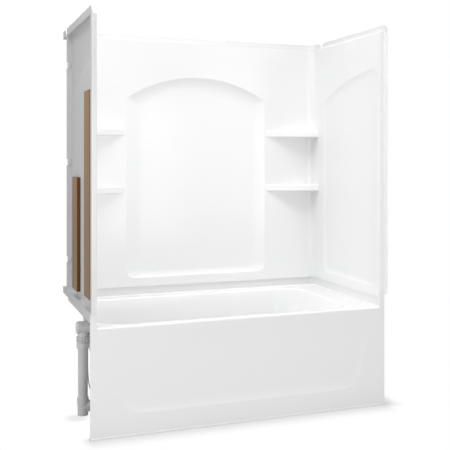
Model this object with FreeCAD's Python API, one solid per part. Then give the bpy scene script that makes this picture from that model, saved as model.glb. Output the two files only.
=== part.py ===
import FreeCAD
import Part
import math
import os
from FreeCAD import Vector

# Tub and shower unit for a three-wall recess: a bathtub moulded in one piece
# with its apron, two end wall panels, a back wall panel with corner shelves,
# wood grab bar backers, and a cable-driven bath waste at the left end.
# X runs along the apron, Y from the apron to the back wall, Z up, all in mm.
# The origin is on the floor, below the centre of the unit.

# Overall sizes
unit_length = 1524.0
tub_depth = 813.0
flange_forward = 30.0
deck_height = 508.0
upstand_height = 62.0
wall_height = 1394.0
end_wall_inset = 30.0
back_wall_inset = 44.0
panel_skin = 4.0
tub_skin = 6.0
nail_flange_height = 34.0
seat_gap = 0.3
running_gap = 0.05
overrun = 5.0
edge_tolerance = 0.01

half_length = unit_length / 2
unit_depth = tub_depth + flange_forward
flange_front_y = -unit_depth / 2
apron_y = flange_front_y + flange_forward
back_y = unit_depth / 2
seam_z = deck_height + upstand_height
top_z = seam_z + wall_height

# Bathtub: rim widths from the outer planes, lean of each basin wall, radii
rim_left_width = 62.0
rim_right_width = 164.0
rim_front_width = 48.0
rim_back_width = 108.0
basin_floor_height = 120.0
left_lean = 73.0
right_lean = 190.0
front_lean = 45.0
back_lean = 45.0
rim_corner_radius = 130.0
floor_corner_radius = 110.0
basin_bottom_radius = 55.0
rim_edge_radius = 12.0
deck_edge_radius = 8.0
lip_skin = 4.0
lip_height = 28.0
lip_skirt_height = 39.0
lip_skirt_reach = 590.0
apron_foot_width = 26.0
apron_skin = 9.0
apron_pan_depth = 4.5
apron_pan_low = 104.0
apron_pan_head_gap = 24.0
apron_pan_foot_margin = 160.0
apron_pan_top_margin = 66.0
apron_pan_corner_radius = 110.0
apron_pan_sweep = 45.0
toe_height = 10.0
toe_reach = 2.0

# Ledge of the tub: its upstand stands behind the walls' drip edges and meets
# the deck in a tight hollow. A post at each front end is flush with the walls.
drip_stand_off = 4.0
ledge_cove_radius = 6.0
ledge_post_depth = 14.0
ledge_post_root = 12.0
post_gap = 1.0
cove_turn_shares = (0, 0.25, 0.5, 0.75, 1)

floor_z = basin_floor_height
basin_depth = deck_height - floor_z
floor_under_z = floor_z - tub_skin
apron_pan_high = deck_height - apron_pan_head_gap
upstand_side_inset = end_wall_inset - panel_skin - drip_stand_off
upstand_back_inset = back_wall_inset - panel_skin - drip_stand_off

# Wall panels: the seam near the back corners, the drip edge in front of the
# tub's upstand, and the flanges that are nailed to studs
seam_from_back = 127.0
seam_gap = 0.6
drip_overlap = 13.0
flange_corner_radius = 28.0
flange_bend_radius = 10.0
face_edge_radius = 6.0
corner_cove_radius = 35.0
side_tab_length = 105.0

seam_y = back_y - seam_from_back
face_x = half_length - end_wall_inset
face_y = back_y - back_wall_inset
face_top_z = top_z - nail_flange_height
wall_foot_z = seam_z + seat_gap
drip_z = seam_z - drip_overlap
foot_top_z = wall_foot_z + panel_skin
ledge_corner_radius = corner_cove_radius + panel_skin + drip_stand_off

# Arched pans pressed into the panels. Each falls away steeply at its rim and
# levels out over a sweep of its own along the sides, the foot and the arch.
pan_foot_rise = 36.0
pan_corner_radius = 45.0
pan_step_shares = (0, 0.15, 0.4, 0.7, 1)
back_pan_depth = 14.0
back_pan_half_width = 419.0
back_pan_spring_drop = 352.0
back_pan_apex_drop = 226.0
back_pan_side_sweep = 90.0
back_pan_foot_sweep = 30.0
back_pan_arch_sweep = 95.0
end_pan_depth = 7.0
end_pan_front = 22.0
end_pan_back_margin = 64.0
end_pan_spring_drop = 362.0
end_pan_apex_drop = 220.0
end_pan_front_sweep = 150.0
end_pan_back_sweep = 30.0
end_pan_foot_sweep = 26.0
end_pan_arch_sweep = 48.0

# Corner shelves, two on each side of the back wall, and their tops above the seam
shelf_length = 304.0
shelf_depth = 82.0
shelf_front_height = 41.0
shelf_top_rises = (549.0, 871.0)
shelf_edge_radius = 7.0

# Clips that pinch the two outward returns together at each corner seam, in
# notches of the returns, and their middles above the tub's ledge
clip_wall = 3.0
clip_height = 26.0
clip_reach = 14.0
clip_room = 8.0
clip_end_gap = 3.0
clip_rises = (170.0, 685.0, 1200.0)

# Wood backers bonded to the outside of the end walls. The long one is placed
# from the apron, the short one from the seam, and their ends from the ledge.
backer_thickness = 18.0
backer_width = 148.0
long_backer_front = 26.0
long_backer_foot_rise = 61.0
long_backer_head_rise = 1020.0
short_backer_from_seam = 168.0
short_backer_foot_rise = 45.0
short_backer_head_rise = 611.0

# Wood base bonded under the basin floor
base_board_thickness = 12.0
base_board_margin = 70.0
base_board_drain_room = 100.0
runner_width = 38.0
runner_count = 3

# Bath waste: drain and riser places
drain_from_end = 290.0
drain_from_apron = 385.0
riser_from_end = 33.5
arm_z = 42.0
overflow_drop = 74.0
pipe_radius = 24.15
pipe_bore_radius = 20.45
socket_gap = 0.2
hub_wall = 4.5

left_x = -half_length
overflow_z = deck_height - overflow_drop
drain_x = left_x + drain_from_end
drain_y = apron_y + drain_from_apron
riser_x = left_x + riser_from_end
hub_radius = pipe_radius + socket_gap + hub_wall
socket_radius = pipe_radius + socket_gap

# Tee at the foot of the riser, with its outlet facing down
tee_top_z = 87.0
tee_hub_height = 35.0
tee_body_radius = 26.5
tee_outlet_depth = 18.0
tee_branch_length = 48.0
tee_branch_hub = 22.0

# Adapter, nut and washer where the overflow's tail enters the riser
adapter_drop = 101.0
adapter_hub_height = 24.0
adapter_thread_height = 22.0
adapter_thread_radius = 28.0
nut_radius = 33.0
nut_rise = 6.0
nut_height = 27.0
nut_wall = 4.0
nut_side_count = 8
washer_height = 6.0
tail_radius = 19.05
tail_bore_radius = 17.4
tail_length = 60.0
neck_radius = 25.5

adapter_low_z = overflow_z - adapter_drop

# Overflow body behind the basin wall, its gasket, plate, knob and screws
overflow_radius = 31.0
overflow_bore_radius = 26.5
overflow_back_gap = 1.0
overflow_hole_radius = 25.0
gasket_radius = 36.0
gasket_thickness = 5.0
body_flange_thickness = 5.0
plate_radius = 37.0
plate_thickness = 3.0
plate_boss_radius = 10.0
plate_boss_height = 7.0
plate_inlet_radius = 7.0
plate_inlet_count = 4
plate_hole_ring_radius = 21.0
screw_radius = 2.0
screw_head_radius = 4.0
screw_head_height = 2.0
screw_length = 24.0
screw_lug_radius = 4.5
knob_radius = 34.0
knob_thickness = 12.0
knob_standoff = 1.5
knob_grip_count = 12
knob_grip_radius = 4.0
knob_shaft_radius = 6.0
knob_shaft_reach = 34.0
cam_thickness = 7.0
cam_hub_radius = 10.0
cam_arm_length = 14.0
cam_pin_radius = 3.0

# Drain flange, gasket and shoe
drain_hole_radius = 24.5
drain_flange_radius = 38.0
drain_flange_thickness = 2.5
drain_barrel_radius = 22.5
drain_barrel_wall = 3.0
drain_barrel_length = 34.0
spider_hub_radius = 7.0
spider_thickness = 4.0
spider_rib_width = 3.0
spider_drop = 12.0
drain_gasket_radius = 34.0
drain_gasket_thickness = 4.0
shoe_flange_thickness = 5.0
shoe_flange_radius = 36.0
shoe_radius = 28.0
shoe_wall = 5.0
shoe_hub_length = 68.0
shoe_socket_depth = 26.0
guide_radius = 9.0
port_radius = 8.0
port_reach = 44.0
port_z = 32.0

# Stopper with its seal, stem and plunger, which rise together
stopper_radius = 30.0
stopper_thickness = 5.0
stopper_dome_radius = 3.0
seal_radius = 26.0
seal_thickness = 3.0
stem_radius = 4.0
stem_length = 44.0
plunger_radius = 6.0
plunger_length = 34.0

# Cable from the overflow body to the shoe. Its points are places from the
# riser's end plane, from the drain's centre line, and above the floor.
cable_radius = 2.5
cable_nut_radius = 8.0
cable_nut_height = 9.0
cable_port_drop = 2.0
cable_port_from_end = 62.0
cable_port_back = 26.0
cable_bend_share = 0.45
cable_points = (
    (62.0, 26.0, 346.0),
    (62.0, 27.0, 290.0),
    (62.5, 29.0, 236.0),
    (64.5, 33.0, 182.0),
    (71.0, 38.5, 132.0),
    (86.0, 45.0, 92.0),
    (115.0, 54.0, 64.0),
    (154.0, 65.0, 49.0),
    (197.0, 81.0, 41.0),
    (240.0, 97.0, 36.0),
    (276.0, 102.0, 33.5),
    (290.0, 80.0, 32.0),
)


# Plain shapes

def box(x0, x1, y0, y1, z0, z1):
    return Part.makeBox(x1 - x0, y1 - y0, z1 - z0, Vector(x0, y0, z0))


def rod(radius, start, along, length):
    return Part.makeCylinder(radius, length, start, along)


def tube(outer, inner, start, along, length):
    return rod(outer, start, along, length).cut(rod(inner, start, along, length))


def prism(points, along):
    closed = list(points) + [points[0]]
    return Part.Face(Part.makePolygon(closed)).extrude(along)


def joined(first, *others):
    return first.fuse(list(others)).removeSplitter()


def mirrored(shape):
    return shape.mirror(Vector(0, 0, 0), Vector(1, 0, 0))


def edges_at(shape, test):
    return [edge for edge in shape.Edges if test(edge.BoundBox)]


def rounded(shape, radius, test):
    return shape.makeFillet(radius, edges_at(shape, test))


def same(a, b):
    return abs(a - b) < edge_tolerance


# Edges of a bounding box that run along one axis at a given place

def along_x(bounds, y, z):
    return same(bounds.YMin, y) and same(bounds.YMax, y) and same(bounds.ZMin, z) and same(bounds.ZMax, z)


def along_y(bounds, x, z):
    return same(bounds.XMin, x) and same(bounds.XMax, x) and same(bounds.ZMin, z) and same(bounds.ZMax, z)


def along_z(bounds, x, y):
    return same(bounds.XMin, x) and same(bounds.XMax, x) and same(bounds.YMin, y) and same(bounds.YMax, y)


# Bathtub

def basin_wire(z, grow):
    """Rounded outline of the basin at height z, grown outwards by the wall."""
    share = (deck_height - z) / basin_depth
    x0 = left_x + rim_left_width + left_lean * share - grow
    x1 = half_length - rim_right_width - right_lean * share + grow
    y0 = apron_y + rim_front_width + front_lean * share - grow
    y1 = back_y - rim_back_width - back_lean * share + grow
    radius = rim_corner_radius + (floor_corner_radius - rim_corner_radius) * share + grow
    slab = box(x0, x1, y0, y1, z, z + overrun)
    corners = [(x, y) for x in (x0, x1) for y in (y0, y1)]
    slab = rounded(slab, radius, lambda b: any(along_z(b, x, y) for x, y in corners))
    base = [face for face in slab.Faces if same(face.BoundBox.ZMax, z)]
    return base[0].OuterWire


def basin_solid(top, bottom, grow, radius):
    solid = Part.makeLoft([basin_wire(bottom, grow), basin_wire(top, grow)], True, True)
    return rounded(solid, radius, lambda b: same(b.ZMax, bottom))


def three_sided(side_out, back_out, side_in, back_in, z0, z1):
    """Band along the left, back and right, between two insets."""
    outer = box(left_x + side_out, half_length - side_out, apron_y, back_y - back_out, z0, z1)
    inner = box(left_x + side_in, half_length - side_in, apron_y - overrun, back_y - back_in, z0, z1)
    return outer.cut(inner)


def apron_pan_wire(share):
    """Outline at a share of the sweep in from the pan's rim, tipped about the
    deck's edge so that the pan is deepest at its foot and fades upwards."""
    low = apron_pan_low + apron_pan_sweep * share
    high = apron_pan_high - (deck_height - apron_pan_high) * share
    foot = half_length - apron_pan_foot_margin - apron_pan_sweep * share
    head = half_length - apron_pan_top_margin - apron_pan_sweep * share
    corners = [Vector(x, apron_y, z) for x, z in ((-foot, low), (foot, low), (head, high), (-head, high))]
    slab = prism(corners, Vector(0, overrun, 0))
    slab = rounded(slab, apron_pan_corner_radius - apron_pan_sweep * share,
                   lambda b: any(along_y(b, x, low) for x in (-foot, foot)))
    base = [face for face in slab.Faces if same(face.BoundBox.YMax, apron_y)]
    wire = base[0].OuterWire
    fall = apron_pan_depth * (1 - (1 - share) ** 2)
    wire.rotate(Vector(0, apron_y, deck_height), Vector(1, 0, 0),
                math.degrees(fall / (deck_height - apron_pan_low)))
    return wire


def apron_pan():
    """Shallow sculpted pan in the apron, with soft sides, open in front."""
    wires = [apron_pan_wire(share) for share in pan_step_shares]
    mouth = Part.Face(wires[0]).extrude(Vector(0, -overrun, 0))
    return joined(mouth, Part.makeLoft(wires, True, False))


def ledge_wire(turn, grow):
    """Outline of the room above the deck, at a share of the cove's quarter turn."""
    out = (ledge_cove_radius + grow) * math.sin(turn * math.pi / 2) - ledge_cove_radius
    x0 = left_x + upstand_side_inset - out
    x1 = half_length - upstand_side_inset + out
    y1 = back_y - upstand_back_inset + out
    z = deck_height + ledge_cove_radius - (ledge_cove_radius + grow) * math.cos(turn * math.pi / 2)
    slab = box(x0, x1, apron_y - overrun, y1, z, z + overrun)
    slab = rounded(slab, ledge_corner_radius + out, lambda b: any(along_z(b, x, y1) for x in (x0, x1)))
    base = [face for face in slab.Faces if same(face.BoundBox.ZMax, z)]
    return base[0].OuterWire


def ledge_room(grow):
    """Room above the deck and inside the upstand, grown by the wall or not."""
    wires = [ledge_wire(turn, grow) for turn in cove_turn_shares]
    upright = Part.Face(wires[-1]).extrude(Vector(0, 0, seam_z + overrun - deck_height - ledge_cove_radius))
    return joined(Part.makeLoft(wires, True, False), upright)


def overflow_frame():
    """Centre of the overflow on the basin's left wall, and the wall's normal."""
    share = (deck_height - overflow_z) / basin_depth
    centre = Vector(left_x + rim_left_width + left_lean * share, drain_y, overflow_z)
    lean = math.atan2(left_lean, basin_depth)
    return centre, Vector(math.cos(lean), 0, math.sin(lean))


def bathtub():
    room = ledge_room(0)
    body = box(left_x, half_length, apron_y, back_y, 0, seam_z)
    front = box(left_x, half_length, apron_y, apron_y + apron_skin, 0, seam_z)
    foot = box(left_x, half_length, apron_y, apron_y + apron_foot_width, 0, tub_skin)
    top = box(left_x, half_length, apron_y, back_y, seam_z - tub_skin, seam_z)
    lip = three_sided(0, 0, lip_skin, lip_skin, seam_z - lip_height, seam_z)
    skirt = box(left_x, left_x + lip_skin, apron_y, apron_y + lip_skirt_reach,
                seam_z - lip_skirt_height, seam_z)
    post = box(left_x, -face_x, apron_y, apron_y + ledge_post_depth, deck_height - ledge_post_root, seam_z)
    toe = box(left_x, half_length, apron_y - toe_reach, apron_y + tub_skin, 0, toe_height)
    toe = rounded(toe, toe_reach / 2, lambda b: along_x(b, apron_y - toe_reach, toe_height))
    tub = joined(ledge_room(tub_skin).common(body), front, foot, top, lip, skirt, mirrored(skirt)).cut(room)
    tub = rounded(tub, deck_edge_radius, lambda b: along_x(b, apron_y, deck_height))
    tub = joined(tub, post, mirrored(post))
    outer = basin_solid(deck_height, floor_under_z, tub_skin, basin_bottom_radius + tub_skin)
    inner = basin_solid(deck_height, floor_z, 0, basin_bottom_radius)
    tub = joined(tub, outer, toe).cut(inner)
    rim = [edge for edge in tub.Edges if on_rim(edge)]
    tub = tub.makeFillet(rim_edge_radius, rim)
    centre, normal = overflow_frame()
    drain_hole = rod(drain_hole_radius, Vector(drain_x, drain_y, 0), Vector(0, 0, 1), deck_height)
    overflow_hole = rod(overflow_hole_radius, centre - normal * gasket_radius, normal, 2 * gasket_radius)
    return tub.cut([apron_pan(), drain_hole, overflow_hole])


def on_rim(edge):
    """True for the edges where the basin's inside wall meets the deck."""
    bounds = edge.BoundBox
    flat = same(bounds.ZMin, deck_height) and same(bounds.ZMax, deck_height)
    x0, x1 = left_x + rim_left_width - overrun, half_length - rim_right_width + overrun
    y0, y1 = apron_y + rim_front_width - overrun, back_y - rim_back_width + overrun
    return flat and x0 < bounds.XMin and bounds.XMax < x1 and y0 < bounds.YMin and bounds.YMax < y1


def base_board():
    x0 = drain_x + base_board_drain_room
    x1 = half_length - rim_right_width - right_lean - base_board_margin
    y0 = apron_y + rim_front_width + front_lean + base_board_margin
    y1 = back_y - rim_back_width - back_lean - base_board_margin
    return box(x0, x1, y0, y1, floor_under_z - base_board_thickness, floor_under_z)


def base_runners():
    board = base_board().BoundBox
    pitch = (board.XLength - runner_width) / (runner_count - 1)
    runners = []
    for index in range(runner_count):
        x0 = board.XMin + index * pitch
        runners.append(box(x0, x0 + runner_width, board.YMin, board.YMax, 0, board.ZMin))
    return Part.makeCompound(runners)


# Wall panels

def back_pan():
    """Rim, arch circle, sweeps and depth of the back wall's pan."""
    half = back_pan_half_width
    rise = back_pan_spring_drop - back_pan_apex_drop
    radius = (half ** 2 + rise ** 2) / (2 * rise)
    return {"first": -half, "last": half, "centre": 0, "radius": radius,
            "centre_z": top_z - back_pan_apex_drop - radius, "depth": back_pan_depth,
            "first_sweep": back_pan_side_sweep, "last_sweep": back_pan_side_sweep,
            "foot_sweep": back_pan_foot_sweep, "arch_sweep": back_pan_arch_sweep}


def end_pan():
    """The same for an end wall's pan, whose half arch is highest at the front."""
    front = apron_y + end_pan_front
    back = seam_y - end_pan_back_margin
    rise = end_pan_spring_drop - end_pan_apex_drop
    radius = ((back - front) ** 2 + rise ** 2) / (2 * rise)
    return {"first": front, "last": back, "centre": front, "radius": radius,
            "centre_z": top_z - end_pan_apex_drop - radius, "depth": end_pan_depth,
            "first_sweep": end_pan_front_sweep, "last_sweep": end_pan_back_sweep,
            "foot_sweep": end_pan_foot_sweep, "arch_sweep": end_pan_arch_sweep}


def on_back_wall(across, z):
    return Vector(across, face_y, z)


def on_left_wall(across, z):
    return Vector(-face_x, across, z)


def pan_wire(pan, place, outward, share, grow):
    """Rounded outline at a share of the sweep in from the rim: an arc over two
    upright sides and a level foot, pressed outwards as deep as the pan is there."""
    first = pan["first"] + pan["first_sweep"] * share - grow
    last = pan["last"] - pan["last_sweep"] * share + grow
    low = seam_z + pan_foot_rise + pan["foot_sweep"] * share - grow
    radius = pan["radius"] - pan["arch_sweep"] * share + grow

    def arch(across):
        return place(across, pan["centre_z"] + math.sqrt(radius ** 2 - (across - pan["centre"]) ** 2))

    points = [arch(first), place(first, low), place(last, low), arch(last)]
    edges = [Part.makeLine(points[i], points[i + 1]) for i in range(3)]
    edges.append(Part.Arc(points[3], arch((first + last) / 2), points[0]).toShape())
    solid = Part.Face(Part.Wire(edges)).extrude(outward)
    straight = [edge for edge in solid.Edges if same(edge.Length, outward.Length)
                and isinstance(edge.Curve, Part.Line)]
    solid = solid.makeFillet(pan_corner_radius + grow, straight)
    base = [f for f in solid.Faces if same(f.CenterOfMass.distanceToPlane(points[0], outward), 0)]
    wire = base[0].OuterWire
    wire.translate(outward * (pan["depth"] * (1 - (1 - share) ** 2) + grow))
    return wire


def pan_solid(pan, place, outward, grow):
    """Dished solid from the finished face out, grown by the panel's skin or not."""
    wires = [pan_wire(pan, place, outward, share, grow) for share in pan_step_shares]
    dish = Part.makeLoft(wires, True, False)
    if not grow:
        return dish
    return joined(Part.Face(wires[0]).extrude(outward * -grow), dish)


def pressed_in(panel, pan, place, outward):
    """The panel with a pan pressed into it."""
    shell = joined(panel, pan_solid(pan, place, outward, panel_skin))
    return shell.cut(pan_solid(pan, place, outward, 0))


def clip_notches():
    """Room for the left clips in the ends of the two returns."""
    deep = panel_skin + overrun
    half = clip_height / 2 + clip_end_gap
    middles = [seam_z + rise for rise in clip_rises]
    return [box(left_x - overrun, left_x + clip_room, seam_y - deep, seam_y + deep, z - half, z + half)
            for z in middles]


def left_end_wall():
    edge_y = seam_y - seam_gap / 2
    skin = box(-face_x - panel_skin, -face_x, apron_y, edge_y, wall_foot_z, face_top_z)
    drip_y = apron_y + ledge_post_depth + post_gap
    drip = box(-face_x - panel_skin, -face_x, drip_y, edge_y, drip_z, wall_foot_z)
    front = box(left_x, -face_x, apron_y, apron_y + panel_skin, wall_foot_z, face_top_z)
    back = box(left_x, -face_x, edge_y - panel_skin, edge_y, wall_foot_z, face_top_z).cut(clip_notches())
    head = box(left_x, -face_x, apron_y, edge_y, face_top_z - panel_skin, face_top_z)
    foot = box(left_x, -face_x, apron_y, edge_y, wall_foot_z, foot_top_z)
    flange = box(left_x, left_x + panel_skin, flange_front_y, edge_y, wall_foot_z, top_z)
    corners = [(flange_front_y, wall_foot_z), (flange_front_y, top_z), (edge_y, top_z)]
    flange = rounded(flange, flange_corner_radius, lambda b: any(along_x(b, y, z) for y, z in corners))
    window = box(left_x - overrun, left_x + panel_skin + overrun, apron_y + panel_skin, edge_y + overrun,
                 foot_top_z, face_top_z - panel_skin)
    panel = joined(skin, drip, front, back, head, foot, flange.cut(window))
    panel = rounded(panel, face_edge_radius, lambda b: along_z(b, -face_x, apron_y)
                    or along_y(b, -face_x, face_top_z))
    return pressed_in(panel, end_pan(), on_left_wall, Vector(-1, 0, 0))


def corner_shelf(top, room):
    """Hollow corner shelf at the left, and its hollow, open through the panel's back."""
    low = top - shelf_front_height
    end = Vector(-face_x, face_y - shelf_depth, low)
    tip = Vector(-face_x + shelf_length, face_y, low)
    corner = Vector(-face_x, face_y, low)
    solid = prism([corner, end, tip], Vector(0, 0, shelf_front_height))
    solid = rounded(solid, shelf_edge_radius,
                    lambda b: same(b.XLength, shelf_length) and same(b.YLength, shelf_depth))
    slant = math.hypot(shelf_length, shelf_depth)
    inside_tip = tip.x - panel_skin * slant / shelf_depth
    inside_end = end.y + panel_skin * slant / shelf_length
    floor, ceiling = low + panel_skin, top - panel_skin
    hollow = prism([Vector(x, y, floor) for x, y in (
        (-face_x, inside_end), (inside_tip, face_y), (-face_x, face_y))], Vector(0, 0, ceiling - floor))
    way_out = box(-face_x + corner_cove_radius, inside_tip, face_y, face_y + panel_skin + overrun,
                  floor, ceiling)
    return solid, hollow.common(room).fuse(way_out)


def back_flange():
    """Nailing flange along the back wall's head, bent forwards at both ends."""
    tab_y = back_y - side_tab_length
    low = face_top_z - panel_skin
    band = box(left_x, half_length, tab_y, back_y, low, top_z)
    band = rounded(band, flange_corner_radius, lambda b: along_x(b, tab_y, top_z))
    band = rounded(band, flange_bend_radius, lambda b: any(
        along_z(b, x, back_y) for x in (left_x, half_length)))
    hollow = box(left_x + panel_skin, half_length - panel_skin, tab_y - overrun, back_y - panel_skin,
                 low - overrun, top_z + overrun)
    hollow = rounded(hollow, flange_bend_radius - panel_skin, lambda b: any(
        along_z(b, x, back_y - panel_skin) for x in (left_x + panel_skin, half_length - panel_skin)))
    return band.cut(hollow)


def back_wall():
    edge_y = seam_y + seam_gap / 2
    deep_x, deep_y = face_x + panel_skin, face_y + panel_skin
    outer = box(-deep_x, deep_x, edge_y, deep_y, drip_z, face_top_z)
    outer = rounded(outer, corner_cove_radius + panel_skin,
                    lambda b: any(along_z(b, x, deep_y) for x in (-deep_x, deep_x)))
    room = box(-face_x, face_x, edge_y - overrun, face_y, drip_z - overrun, top_z + overrun)
    room = rounded(room, corner_cove_radius, lambda b: any(along_z(b, x, face_y) for x in (-face_x, face_x)))
    head = box(left_x, half_length, edge_y, back_y, face_top_z - panel_skin, face_top_z)
    foot = box(left_x, half_length, edge_y, back_y, wall_foot_z, foot_top_z)
    side = box(left_x, -face_x, edge_y, edge_y + panel_skin, wall_foot_z, face_top_z).cut(clip_notches())
    shelves = []
    hollows = []
    for rise in shelf_top_rises:
        solid, hollow = corner_shelf(seam_z + rise, room)
        shelves += [solid, mirrored(solid)]
        hollows += [hollow, mirrored(hollow)]
    shell = joined(outer, head, foot).cut(room)
    panel = joined(shell, back_flange(), side, mirrored(side), *shelves).cut(hollows)
    return pressed_in(panel, back_pan(), on_back_wall, Vector(0, 1, 0))


def left_wall_clips():
    bridge_x1 = left_x + clip_room - seat_gap
    bridge_x0 = bridge_x1 - clip_wall
    inner = seam_gap / 2 + panel_skin + seat_gap
    outer = inner + clip_wall
    leg_x1 = left_x + clip_room + clip_reach
    clips = []
    for rise in clip_rises:
        low = seam_z + rise - clip_height / 2
        high = low + clip_height
        body = box(bridge_x0, leg_x1, seam_y - outer, seam_y + outer, low, high)
        throat = box(bridge_x1, leg_x1 + overrun, seam_y - inner, seam_y + inner, low, high)
        clips.append(body.cut(throat))
    return Part.makeCompound(clips)


def left_backer(front_y, foot_rise, head_rise):
    x1 = -face_x - panel_skin - end_pan_depth
    return box(x1 - backer_thickness, x1, front_y, front_y + backer_width,
               seam_z + foot_rise, seam_z + head_rise)


# Bath waste

up = Vector(0, 0, 1)
right = Vector(1, 0, 0)


def riser_pipe():
    low = tee_top_z - tee_hub_height + tee_outlet_depth
    high = adapter_low_z + adapter_hub_height - hub_wall
    return tube(pipe_radius, pipe_bore_radius, Vector(riser_x, drain_y, low), up, high - low)


def waste_tee():
    foot = Vector(riser_x, drain_y, 0)
    axis = Vector(riser_x, drain_y, arm_z)
    body = rod(tee_body_radius, foot, up, tee_top_z)
    hub_z = tee_top_z - tee_hub_height
    hub = rod(hub_radius, Vector(riser_x, drain_y, hub_z), up, tee_hub_height)
    branch = rod(hub_radius, axis, right, tee_branch_length)
    solid = joined(body, hub, branch)
    seat_z = hub_z + tee_outlet_depth
    branch_seat = Vector(riser_x + tee_branch_length - tee_branch_hub, drain_y, arm_z)
    cuts = [
        rod(pipe_bore_radius, foot - up * overrun, up, tee_top_z + 2 * overrun),
        rod(socket_radius, foot - up * overrun, up, tee_outlet_depth + overrun),
        rod(socket_radius, Vector(riser_x, drain_y, seat_z), up, tee_top_z),
        rod(pipe_bore_radius, axis, right, tee_branch_length + overrun),
        rod(socket_radius, branch_seat, right, tee_branch_length),
    ]
    return solid.cut(cuts)


def waste_arm():
    x0 = riser_x + tee_branch_length - tee_branch_hub
    x1 = drain_x - shoe_hub_length + shoe_socket_depth
    return tube(pipe_radius, pipe_bore_radius, Vector(x0, drain_y, arm_z), right, x1 - x0)


def riser_adapter():
    base = Vector(riser_x, drain_y, adapter_low_z)
    solid = joined(rod(hub_radius + hub_wall / 2, base, up, adapter_hub_height),
                   rod(adapter_thread_radius, base, up, adapter_hub_height + adapter_thread_height))
    socket = rod(socket_radius, base - up * overrun, up, adapter_hub_height - hub_wall + overrun)
    bore = rod(tail_radius + socket_gap, base, up, adapter_hub_height + adapter_thread_height + overrun)
    return solid.cut([socket, bore])


def nut_low_z():
    return adapter_low_z + adapter_hub_height + nut_rise + seat_gap


def riser_washer():
    low = Vector(riser_x, drain_y, adapter_low_z + adapter_hub_height + adapter_thread_height)
    return tube(adapter_thread_radius, tail_radius + running_gap, low, up, washer_height)


def riser_nut():
    sides = []
    for index in range(nut_side_count):
        angle = 2 * math.pi * index / nut_side_count
        sides.append(Vector(riser_x + nut_radius * math.cos(angle),
                            drain_y + nut_radius * math.sin(angle), nut_low_z()))
    solid = prism(sides, up * nut_height)
    base = Vector(riser_x, drain_y, nut_low_z())
    thread = rod(adapter_thread_radius + socket_gap, base, up, nut_height - nut_wall)
    bore = rod(tail_radius + socket_gap, base, up, nut_height + overrun)
    return solid.cut([thread, bore])


def overflow_places():
    """Points along the overflow's axis: wall outside, gasket back, flange back."""
    centre, normal = overflow_frame()
    wall_back = centre - Vector(tub_skin, 0, 0)
    wall_back = centre + normal * (wall_back - centre).dot(normal)
    gasket_back = wall_back - normal * gasket_thickness
    flange_back = gasket_back - normal * body_flange_thickness
    return centre, normal, wall_back, gasket_back, flange_back


def overflow_body():
    centre, normal, _, gasket_back, flange_back = overflow_places()
    start_x = left_x + overflow_back_gap
    head_start = Vector(start_x, drain_y, overflow_z)
    head = rod(overflow_radius, head_start, right, centre.x - start_x)
    head = rounded(head, hub_wall, lambda b: same(b.XMax, start_x))
    flange = rod(gasket_radius, flange_back, normal, body_flange_thickness)
    neck_low = nut_low_z() + nut_height + seat_gap
    neck = rod(neck_radius, Vector(riser_x, drain_y, neck_low), up, overflow_z - neck_low)
    tail = rod(tail_radius, Vector(riser_x, drain_y, neck_low - tail_length), up, tail_length)
    port = rod(cable_nut_radius, cable_start(), up, overflow_z - cable_start().z)
    solid = joined(head, flange, neck, tail, port).cut(rod(unit_length, gasket_back, normal, unit_length))
    chamber_start = head_start + right * hub_wall
    chamber = rod(overflow_bore_radius, chamber_start, right, centre.x - start_x)
    chamber = chamber.cut(rod(unit_length, flange_back, normal, unit_length))
    mouth = rod(overflow_hole_radius, flange_back - normal * gasket_radius / 2, normal, gasket_radius)
    way = rod(tail_bore_radius, Vector(riser_x, drain_y, neck_low - tail_length - overrun), up,
              overflow_z - neck_low + tail_length + overrun)
    port_height = overflow_z - cable_start().z
    cable_way = rod(cable_radius + running_gap, cable_start() - up * overrun, up, port_height)
    hollow = solid.cut([chamber, mouth, way, cable_way])
    shift = (gasket_back - centre).dot(normal) - screw_length / 2
    lugs = [rod(screw_lug_radius, place + normal * shift, normal, screw_length / 2)
            for place in screw_places()]
    return joined(hollow, *lugs).cut(screw_holes(screw_radius, -2 * screw_length))


def screw_places():
    centre = overflow_frame()[0]
    return [centre + Vector(0, side * plate_hole_ring_radius, 0) for side in (-1, 1)]


def screw_holes(radius, reach):
    normal = overflow_frame()[1]
    return [rod(radius + running_gap, place + normal * reach, normal, -reach + plate_thickness + overrun)
            for place in screw_places()]


def overflow_gasket():
    normal, _, gasket_back = overflow_places()[1:4]
    return tube(gasket_radius, overflow_hole_radius, gasket_back, normal, gasket_thickness)


def overflow_plate():
    centre, normal = overflow_frame()
    disc = rod(plate_radius, centre, normal, plate_thickness)
    boss = rod(plate_boss_radius, centre - normal * plate_boss_height, normal,
               2 * plate_boss_height + plate_thickness)
    solid = joined(disc, boss)
    side = Vector(0, 1, 0)
    rise = normal.cross(side)
    inlets = []
    for index in range(plate_inlet_count):
        angle = math.pi * (2 * index + 1) / plate_inlet_count
        place = centre + (side * math.cos(angle) + rise * math.sin(angle)) * plate_hole_ring_radius
        place = place - normal * overrun
        inlets.append(rod(plate_inlet_radius, place, normal, plate_thickness + 2 * overrun))
    bore = rod(knob_shaft_radius + running_gap, centre - normal * gasket_radius, normal, 2 * gasket_radius)
    return solid.cut(inlets + [bore] + screw_holes(screw_radius, -overrun))


def overflow_screws():
    normal = overflow_frame()[1]
    screws = []
    for place in screw_places():
        shank = rod(screw_radius, place + normal * (plate_thickness - screw_length), normal, screw_length)
        head = rod(screw_head_radius, place + normal * plate_thickness, normal, screw_head_height)
        screws.append(joined(shank, head))
    return Part.makeCompound(screws)


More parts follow.
